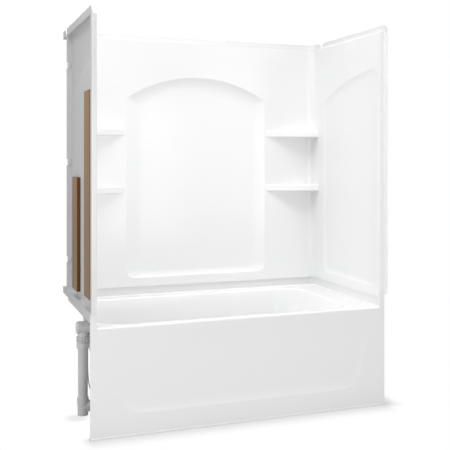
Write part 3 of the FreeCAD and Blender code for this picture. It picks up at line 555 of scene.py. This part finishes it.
# The nut that draws the washer round the overflow's tail is a moulded ring of
# the same plastic, with sixteen ribs outside for the hand.
def fresh_disc(name, centre, radius, height, sides):
    """An upright round block, in edit mode."""
    bpy.ops.object.select_all(action="DESELECT")
    bpy.ops.mesh.primitive_cylinder_add(vertices=sides, radius=radius, depth=height,
                                        location=centre)
    piece = bpy.context.object
    piece.name = piece.data.name = name
    bpy.ops.object.transform_apply(location=True, rotation=True, scale=True)
    bpy.ops.object.mode_set(mode="EDIT")
    return piece


def fresh_ring(name, centre, outer, inner, height, sides):
    """An upright ring, or a nut with so many sides, in edit mode."""
    piece = fresh_disc(name, centre, outer, height, sides)
    pick(piece, "FACE", lambda middle, normal: abs(normal.z) > 0.9)
    bpy.ops.mesh.inset(thickness=outer - inner)
    pick(piece, "FACE", lambda middle, normal: abs(normal.z) > 0.9
         and (middle - Vector(centre)).xy.length < inner * 0.1)
    bpy.ops.mesh.bridge_edge_loops()
    return piece


nut_low, nut_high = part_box("riser_nut")
nut_centre = (nut_low + nut_high) / 2
nut_outer = (nut_high.x - nut_low.x) / 2
nut_bore = 0.01935
nut_sides = 64
sides_per_rib = 4
nut = fresh_ring("riser_nut_ring", nut_centre, nut_outer * 0.92, nut_bore,
                 nut_high.z - nut_low.z, nut_sides)


def on_rib(middle, normal):
    """True on every fourth side outside."""
    around = math.atan2(middle.y - nut_centre.y, middle.x - nut_centre.x)
    side = int((around + 2 * math.pi) / (2 * math.pi) * nut_sides)
    outside = (middle - nut_centre).xy.length > nut_outer * 0.85
    return outside and abs(normal.z) < 0.5 and side % sides_per_rib == 0


pick(nut, "FACE", on_rib)
bpy.ops.mesh.extrude_region_move(TRANSFORM_OT_translate={"value": (0, 0, 0)})
bpy.ops.transform.resize(value=(1.08, 1.08, 0.94), center_override=nut_centre)
break_edges(0.0006, 2, 25)
leave(nut)
nut_plastic = drain_plastic("nut_plastic", (0.59, 0.59, 0.59, 1), (0.73, 0.73, 0.73, 1))
fit(nut, nut_plastic, "waste_plastic", "riser_nut")


# Rubber rings seal the overflow, the riser and the drain. They are black and
# dull, and a little talc still lies in their pores.
rubber, place, _ = new_finish("seal_rubber")
talc = place.noise(240.0, 4.0, 0.7)
dusty_black = (talc * 0.5).blended((0.012, 0.012, 0.012, 1), (0.060, 0.060, 0.058, 1))
set_shader(rubber, Base_Color=dusty_black, Roughness=talc * 0.2 + 0.62,
           Normal=talc.relief(0.3, 0.0004))
for node in ("overflow_gasket", "riser_washer", "drain_gasket", "stopper_seal"):
    wear(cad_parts[node], rubber)


# The overflow's plate and the drain's flange are chromed brass, the plate's
# screws are steel, and the stopper's stem and plunger are plain turned brass.
def bright_metal(name, colour, roughness):
    """Polished metal, a little duller where a drop of water has dried."""
    material, place, _ = new_finish(name)
    spot = place.noise(150.0, 3.0, 0.6)
    water = spot.fade(0.62, 0.72)
    dried = (water * 0.25).blended((*colour, 1), (0.62, 0.63, 0.64, 1))
    set_shader(material, Base_Color=dried, Metallic=1.0,
               Roughness=roughness + spot * 0.05 + water * 0.10)
    return material


chrome = bright_metal("chrome", (0.78, 0.79, 0.81), 0.05)
steel = bright_metal("screw_steel", (0.62, 0.62, 0.63), 0.22)
brass = bright_metal("brass", (0.70, 0.50, 0.24), 0.24)
for node, metal in (("overflow_plate", chrome), ("overflow_screws", steel),
                    ("drain_flange", chrome), ("stopper_stem", brass), ("lift_plunger", brass)):
    wear(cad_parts[node], metal)


# The overflow knob is a chromed dial 68 mm across with twelve finger scallops
# and a dished face. Its shaft goes through the plate, and turns the cam that
# pulls the cable. Cam and shaft end are hidden in the overflow's head.
def draw_on(centre, ratio, rise):
    """Draws the selected faces on into a new ring, narrower and further out."""
    bpy.ops.mesh.extrude_region_move(TRANSFORM_OT_translate={"value": (0, 0, rise)})
    bpy.ops.transform.resize(value=(ratio, ratio, 1), center_override=centre)


def stand(piece, place, along):
    """Moves a piece made upright at the origin, and turns it to a direction."""
    piece.rotation_euler = along.to_track_quat("Z", "Y").to_euler()
    piece.location = place
    bpy.ops.object.transform_apply(location=True, rotation=True, scale=True)


wall_lean = math.atan2(0.073, 0.388)
knob_axis = Vector((math.cos(wall_lean), 0, math.sin(wall_lean)))
wall_centre = Vector((-0.686077, -0.0065, 0.434))
knob_gap = 0.0115
knob_radius, knob_depth, knob_sides = 0.034, 0.012, 96
scallop_turn = 360 / 12
shaft_share, shaft_length = 0.0060 / 0.0335, 0.0455
dished_face = ((0.92, 0.0), (0.90, -0.0012), (0.75, -0.0010), (0.55, -0.0004))


def on_scallop(middle, along, width):
    """True on the upright edges of a scallop so many sides wide."""
    turn = math.degrees(math.atan2(middle.y, middle.x)) + 360 + scallop_turn / 4
    off_middle = abs(turn % scallop_turn - scallop_turn / 4)
    return abs(along.z) > 0.9 and off_middle < 360 / knob_sides * width / 2 + 0.5


knob = fresh_disc("overflow_dial", (0, 0, knob_depth / 2), knob_radius, knob_depth, knob_sides)
for width, pull in ((3, 0.955), (1, 0.975)):
    pick(knob, "EDGE", lambda middle, along: on_scallop(middle, along, width))
    bpy.ops.transform.resize(value=(pull, pull, 1), center_override=(0, 0, 0))
pick(knob, "FACE", lambda middle, normal: normal.z > 0.9)
for ratio, rise in dished_face:
    draw_on((0, 0, 0), ratio, rise)
pick(knob, "FACE", lambda middle, normal: normal.z < -0.9)
draw_on((0, 0, 0), shaft_share, 0.0)
draw_on((0, 0, 0), 1.0, -shaft_length)
break_edges(0.0008, 3, 40)
leave(knob)
stand(knob, wall_centre + knob_axis * knob_gap, knob_axis)
fit(knob, chrome, "bright_trim", "overflow_knob", body="knob")

dark_nylon, place, _ = new_finish("drive_nylon")
cloud = place.noise(80.0, 3.0)
set_shader(dark_nylon, Base_Color=cloud.blended((0.055, 0.055, 0.058, 1), (0.085, 0.085, 0.088, 1)),
           Roughness=cloud * 0.15 + 0.40)
wear(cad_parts["drive_cam"], dark_nylon)


# The stopper is a chromed cap 60 mm across with a low dome and a turned step.
# It rides on a brass stem and plunger, which the cable lifts 9 mm.
cap_low, cap_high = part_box("stopper_cap")
cap_centre = (cap_low + cap_high) / 2
cap_radius, cap_rim, cap_sides = 0.030, 0.0030, 96
turned_dome = ((0.94, 0.0007), (0.96, -0.0003), (0.86, 0.0008), (0.70, 0.0006), (0.50, 0.0003))
cap = fresh_disc("stopper_dome", (cap_centre.x, cap_centre.y, cap_low.z + cap_rim / 2),
                 cap_radius, cap_rim, cap_sides)
pick(cap, "FACE", lambda middle, normal: normal.z > 0.9)
for ratio, rise in turned_dome:
    draw_on(cap_centre, ratio, rise)
break_edges(0.0005, 3, 50)
leave(cap, 25)
fit(cap, chrome, "bright_trim", "stopper_cap", body="stopper")


# A small hexagonal nut of turned brass holds each end of the cable's sheath,
# one below the overflow's head and one at the side of the drain shoe.
hex_length, hex_radius, hex_bore = 0.009, 0.008, 0.00255
cable_ends = ((Vector(cable_route[0]), Vector((0, 0, -1))),
              (Vector(cable_route[-1]), Vector((0, 1, 0))))
for index, (place, along) in enumerate(cable_ends):
    hex_nut = fresh_ring(f"cable_nut_{index + 1}", (0, 0, hex_length / 2), hex_radius, hex_bore,
                         hex_length, 6)
    break_edges(0.0006, 2, 40)
    leave(hex_nut, 25)
    stand(hex_nut, place + along * 0.0003, along)
    fit(hex_nut, brass, "brass", "cable_nuts")
